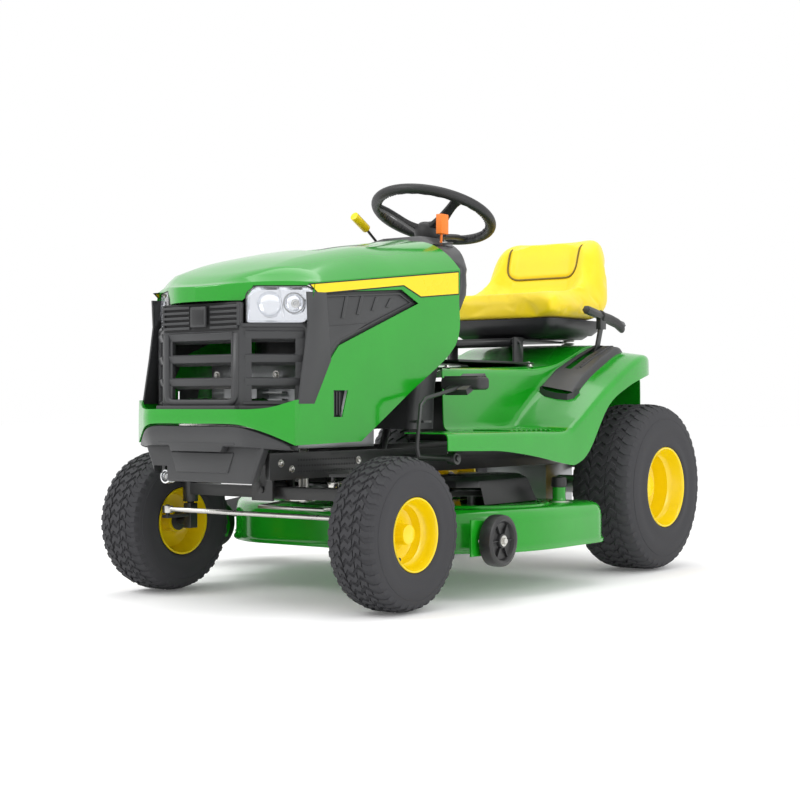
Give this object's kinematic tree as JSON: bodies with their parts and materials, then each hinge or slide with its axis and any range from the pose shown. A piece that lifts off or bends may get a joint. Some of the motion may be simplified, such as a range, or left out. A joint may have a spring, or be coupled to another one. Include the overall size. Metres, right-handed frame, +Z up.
{
  "type": "riding lawn mower",
  "caption": "Riding lawn mower with a tilting hood, steered pivoting front axle, sliding tip-up seat, foot and hand controls, and a lifting side-discharge deck with driven blades.",
  "frame": {"origin": "on the ground, below the middle of the machine's bounding box; the wheels' centre plane is at x = 0.1425", "axes": "+Z up; the machine's front faces -Y, so +Y runs back along its length; +X is the operator's left"},
  "size_m": [1.315, 1.7864, 1.1297],
  "materials": {
    "green_plastic": "glossy moulded green",
    "green_paint": "glossy green enamel",
    "wheel_yellow": "glossy yellow enamel",
    "seat_vinyl": "soft yellow vinyl",
    "knob_yellow": "moulded yellow grip",
    "knob_orange": "moulded orange grip",
    "lamp_lens": "clear lens over a silver reflector",
    "zinc_steel": "zinc-plated",
    "blade_steel": "dark oiled steel",
    "cast_alloy": "cast, matt",
    "belt_rubber": "matt fabric-backed rubber",
    "tyre_rubber": "matt black tread and sidewall",
    "frame_black": "satin black powder coat",
    "trim_charcoal": "grained charcoal plastic",
    "trim_black": "grained black plastic"
  },
  "bodies": {
    "chassis": {"frame_rail_left": "frame_black", "frame_rail_right": "frame_black", "front_cross_plate": "frame_black", "hitch_plate": "frame_black", "front_bumper": "trim_charcoal", "fender_deck": "green_paint", "lever_quadrant": "trim_charcoal", "dash_tower": "trim_charcoal", "engine_block": "cast_alloy", "blower_housing": "trim_black", "muffler": "zinc_steel", "fuel_tank": "trim_black", "battery": "trim_black", "transaxle": "cast_alloy", "traction_belt": "belt_rubber", "seat_support": "frame_black"},
    "hood": {"hood_shell": "green_plastic", "grille": "trim_charcoal", "headlight_left": "lamp_lens", "headlight_right": "lamp_lens", "side_vent_left": "trim_charcoal", "side_vent_right": "trim_charcoal"},
    "front_axle": {"axle_beam": "frame_black"},
    "left_spindle": {"spindle_left": "frame_black"},
    "right_spindle": {"spindle_right": "frame_black"},
    "front_left_wheel": {"tyre_front_left": "tyre_rubber", "rim_front_left": "wheel_yellow"},
    "front_right_wheel": {"tyre_front_right": "tyre_rubber", "rim_front_right": "wheel_yellow"},
    "rear_left_wheel": {"tyre_rear_left": "tyre_rubber", "rim_rear_left": "wheel_yellow"},
    "rear_right_wheel": {"tyre_rear_right": "tyre_rubber", "rim_rear_right": "wheel_yellow"},
    "steering": {"steering_wheel": "trim_black", "steering_shaft": "blade_steel"},
    "sector": {"steering_sector": "blade_steel"},
    "tie_rod": {"tie_rod": "zinc_steel"},
    "drag_link": {"drag_link": "zinc_steel"},
    "seat_base": {"seat_bracket": "frame_black"},
    "seat": {"seat_pan": "trim_black", "seat_cushion": "seat_vinyl"},
    "lift_lever": {"lift_lever": "frame_black"},
    "brake_pedal": {"brake_pedal": "frame_black"},
    "forward_pedal": {"forward_pedal": "frame_black"},
    "reverse_pedal": {"reverse_pedal": "frame_black"},
    "throttle_lever": {"throttle_lever": "knob_orange"},
    "blade_lever": {"blade_lever": "knob_yellow"},
    "ignition_key": {"ignition_key": "trim_black"},
    "fuel_cap": {"fuel_cap": "trim_black"},
    "mower_deck": {"deck_shell": "green_paint", "belt_cover_left": "trim_black", "belt_cover_right": "trim_black", "deck_belt": "belt_rubber", "deck_hanger_front": "zinc_steel"},
    "left_blade": {"blade_left": "blade_steel"},
    "right_blade": {"blade_right": "blade_steel"},
    "left_scalp_wheel": {"scalp_wheel_left": "trim_black"},
    "right_scalp_wheel": {"scalp_wheel_right": "trim_black"},
    "deflector": {"discharge_deflector": "trim_black"},
    "crankshaft": {"crankshaft": "zinc_steel"}
  },
  "joints": [
    {"name": "hood_hinge", "type": "hinge", "parent": "chassis", "child": "hood", "pos_m": [0.1425, -0.8392, 0.4], "axis": [1, 0, 0], "range_deg": [0, 65]},
    {"name": "axle_pivot", "type": "hinge", "parent": "chassis", "child": "front_axle", "pos_m": [0.1425, -0.5992, 0.285], "axis": [0, 1, 0], "range_deg": [-3, 3]},
    {"name": "steering_turn", "type": "hinge", "parent": "chassis", "child": "steering", "pos_m": [0.1425, -0.05699, 0.6], "axis": [0, 0.3404, 0.9403], "range_deg": [-165, 165]},
    {"name": "sector_turn", "type": "hinge", "parent": "chassis", "child": "sector", "pos_m": [0.2225, -0.1932, 0.283], "axis": [0, 0, 1], "range_deg": [-25, 25]},
    {"name": "left_kingpin", "type": "hinge", "parent": "front_axle", "child": "left_spindle", "pos_m": [0.4375, -0.5992, 0.1893], "axis": [0, 0, 1], "range_deg": [-25, 25]},
    {"name": "right_kingpin", "type": "hinge", "parent": "front_axle", "child": "right_spindle", "pos_m": [-0.1525, -0.5992, 0.1893], "axis": [0, 0, 1], "range_deg": [-25, 25]},
    {"name": "tie_rod_pivot", "type": "hinge", "parent": "left_spindle", "child": "tie_rod", "pos_m": [0.4375, -0.6842, 0.226], "axis": [0, 0, 1], "range_deg": [-25, 25]},
    {"name": "drag_link_pivot", "type": "hinge", "parent": "left_spindle", "child": "drag_link", "pos_m": [0.3735, -0.6392, 0.304], "axis": [0, 0, 1], "range_deg": [-25, 25]},
    {"name": "front_left_spin", "type": "hinge", "parent": "left_spindle", "child": "front_left_wheel", "pos_m": [0.5295, -0.5992, 0.1893], "axis": [1, 0, 0], "continuous": true},
    {"name": "front_right_spin", "type": "hinge", "parent": "right_spindle", "child": "front_right_wheel", "pos_m": [-0.2445, -0.5992, 0.1893], "axis": [1, 0, 0], "continuous": true},
    {"name": "rear_left_spin", "type": "hinge", "parent": "chassis", "child": "rear_left_wheel", "pos_m": [0.5285, 0.6408, 0.2524], "axis": [1, 0, 0], "continuous": true},
    {"name": "rear_right_spin", "type": "hinge", "parent": "chassis", "child": "rear_right_wheel", "pos_m": [-0.2435, 0.6408, 0.2524], "axis": [1, 0, 0], "continuous": true},
    {"name": "seat_tilt", "type": "hinge", "parent": "chassis", "child": "seat_base", "pos_m": [0.1425, 0.3808, 0.69], "axis": [1, 0, 0], "range_deg": [0, 50]},
    {"name": "seat_slide", "type": "slide", "parent": "seat_base", "child": "seat", "axis": [0, 1, 0], "range_m": [-0.05, 0.05]},
    {"name": "lift_lever_turn", "type": "hinge", "parent": "chassis", "child": "lift_lever", "pos_m": [0.4125, 0.4808, 0.35], "axis": [1, 0, 0], "range_deg": [0, 26]},
    {"name": "deck_lift", "type": "slide", "parent": "chassis", "child": "mower_deck", "axis": [0, 0, 1], "range_m": [-0.0755, 0.0005], "deforming": ["deck_belt"]},
    {"name": "brake_press", "type": "hinge", "parent": "chassis", "child": "brake_pedal", "pos_m": [0.4825, -0.2792, 0.362], "axis": [1, 0, 0], "range_deg": [0, 9], "stiffness_Nm_per_rad": 20, "springref_deg": -11.46},
    {"name": "forward_press", "type": "hinge", "parent": "chassis", "child": "forward_pedal", "pos_m": [-0.1325, -0.0792, 0.36], "axis": [1, 0, 0], "range_deg": [0, 8], "stiffness_Nm_per_rad": 15, "springref_deg": -11.46},
    {"name": "reverse_press", "type": "hinge", "parent": "chassis", "child": "reverse_pedal", "pos_m": [-0.2125, -0.0792, 0.36], "axis": [1, 0, 0], "range_deg": [0, 8], "stiffness_Nm_per_rad": 15, "springref_deg": -11.46},
    {"name": "throttle_turn", "type": "hinge", "parent": "chassis", "child": "throttle_lever", "pos_m": [0.3025, -0.0842, 0.89], "axis": [1, 0, 0], "range_deg": [-18, 18]},
    {"name": "blade_lever_turn", "type": "hinge", "parent": "chassis", "child": "blade_lever", "pos_m": [-0.0075, 0.0208, 0.885], "axis": [1, 0, 0], "range_deg": [-12, 12]},
    {"name": "key_turn", "type": "hinge", "parent": "chassis", "child": "ignition_key", "pos_m": [0.2625, -0.0192, 0.95], "axis": [0, 0, 1], "range_deg": [0, 90]},
    {"name": "fuel_cap_turn", "type": "hinge", "parent": "chassis", "child": "fuel_cap", "pos_m": [0.0725, -0.2942, 0.82], "axis": [0, 0, 1], "continuous": true},
    {"name": "left_blade_spin", "type": "hinge", "parent": "mower_deck", "child": "left_blade", "pos_m": [0.3775, -0.0392, 0.2], "axis": [0, 0, 1], "continuous": true},
    {"name": "right_blade_spin", "type": "hinge", "parent": "mower_deck", "child": "right_blade", "pos_m": [-0.1525, -0.0392, 0.2], "axis": [0, 0, 1], "continuous": true},
    {"name": "left_scalp_spin", "type": "hinge", "parent": "mower_deck", "child": "left_scalp_wheel", "pos_m": [0.6325, -0.2972, 0.157], "axis": [1, 0, 0], "continuous": true},
    {"name": "right_scalp_spin", "type": "hinge", "parent": "mower_deck", "child": "right_scalp_wheel", "pos_m": [-0.3475, -0.2972, 0.157], "axis": [1, 0, 0], "continuous": true},
    {"name": "deflector_lift", "type": "hinge", "parent": "mower_deck", "child": "deflector", "pos_m": [-0.4375, 0.0933, 0.2215], "axis": [0, 1, 0], "range_deg": [0, 85]},
    {"name": "crankshaft_spin", "type": "hinge", "parent": "chassis", "child": "crankshaft", "pos_m": [0.1425, -0.4792, 0.5], "axis": [0, 0, 1], "continuous": true}
  ],
  "couplings": [
    {"joint": "sector_turn", "follows": "steering_turn", "ratio": 0.15},
    {"joint": "left_kingpin", "follows": "steering_turn", "ratio": 0.15},
    {"joint": "right_kingpin", "follows": "steering_turn", "ratio": 0.15},
    {"joint": "tie_rod_pivot", "follows": "steering_turn", "ratio": -0.15},
    {"joint": "drag_link_pivot", "follows": "steering_turn", "ratio": -0.15},
    {"joint": "deck_lift", "follows": "lift_lever_turn", "m_per_rad": -0.165},
    {"joint": "right_blade_spin", "follows": "left_blade_spin", "ratio": 1}
  ]
}
